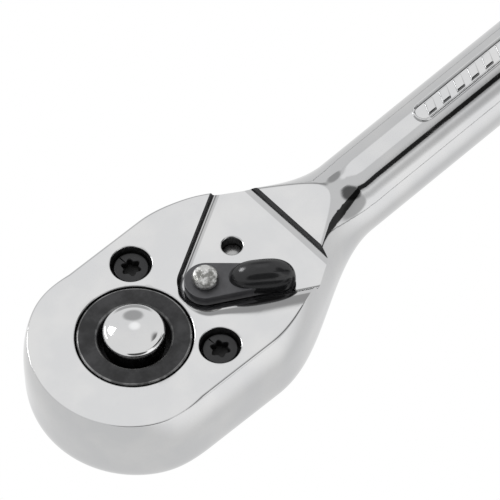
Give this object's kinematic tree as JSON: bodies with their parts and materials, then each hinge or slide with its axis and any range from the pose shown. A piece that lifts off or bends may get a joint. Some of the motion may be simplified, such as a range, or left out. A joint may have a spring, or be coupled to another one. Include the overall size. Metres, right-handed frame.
{
  "type": "ratchet wrench",
  "caption": "Reversible ratchet wrench with a half-inch drive square, twin pawls, a reversing lever and a push button that frees the socket.",
  "frame": {"origin": "centre of the drive square's end face", "axes": "+Z along the drive axis, from the square to the release button; +X along the handle, away from the head"},
  "size_m": [0.2505, 0.0424, 0.0451],
  "materials": {
    "chrome": "polished",
    "black_steel": "satin",
    "black_lever": "satin",
    "bright_steel": "satin",
    "spring_steel": "satin",
    "rubber": "matte"
  },
  "bodies": {
    "housing": {"handle_body": "chrome", "cover_plate": "black_steel", "thrust_washer": "bright_steel", "bore_seal": "rubber", "drive_seal": "rubber", "cover_screw_left": "black_steel", "cover_screw_right": "black_steel", "pawl_pin_left": "bright_steel", "pawl_pin_right": "bright_steel", "pawl_spring_left": "spring_steel", "pawl_spring_right": "spring_steel", "selector_seal": "rubber", "detent_ball": "bright_steel", "detent_spring": "spring_steel"},
    "drive": {"drive_gear": "black_steel", "release_spring": "spring_steel"},
    "button": {"release_button": "chrome", "release_rod": "bright_steel"},
    "ball": {"socket_ball": "bright_steel"},
    "selector": {"selector_shaft": "bright_steel", "selector_lever": "black_lever"},
    "pawl_left": {"pawl_left": "black_steel"},
    "pawl_right": {"pawl_right": "black_steel"}
  },
  "joints": [
    {"name": "drive_spin", "type": "hinge", "parent": "housing", "child": "drive", "pos_m": [0, 0, 0], "axis": [0, 0, 1], "continuous": true},
    {"name": "button_press", "type": "slide", "parent": "drive", "child": "button", "axis": [0, 0, -1], "range_m": [0, 0.003], "stiffness_N_per_m": 1200, "springref_m": -0.002, "deforming": ["release_spring"]},
    {"name": "ball_retract", "type": "slide", "parent": "drive", "child": "ball", "axis": [1, 0, 0], "range_m": [0, 0.0009]},
    {"name": "selector_swing", "type": "hinge", "parent": "housing", "child": "selector", "pos_m": [0.0184, 0, 0.033], "axis": [0, 0, 1], "range_deg": [0, 73], "deforming": ["pawl_spring_left", "pawl_spring_right"]},
    {"name": "pawl_left_swing", "type": "hinge", "parent": "housing", "child": "pawl_left", "pos_m": [0.0288, 0.004, 0.023], "axis": [0, 0, 1], "range_deg": [0, 6]},
    {"name": "pawl_right_swing", "type": "hinge", "parent": "housing", "child": "pawl_right", "pos_m": [0.0288, -0.004, 0.023], "axis": [0, 0, 1], "range_deg": [0, 6]}
  ],
  "couplings": [
    {"joint": "ball_retract", "follows": "button_press", "ratio": 0.3},
    {"joint": "pawl_left_swing", "follows": "selector_swing", "ratio": 0.082192},
    {"joint": "pawl_right_swing", "follows": "selector_swing", "ratio": 0.082192}
  ]
}
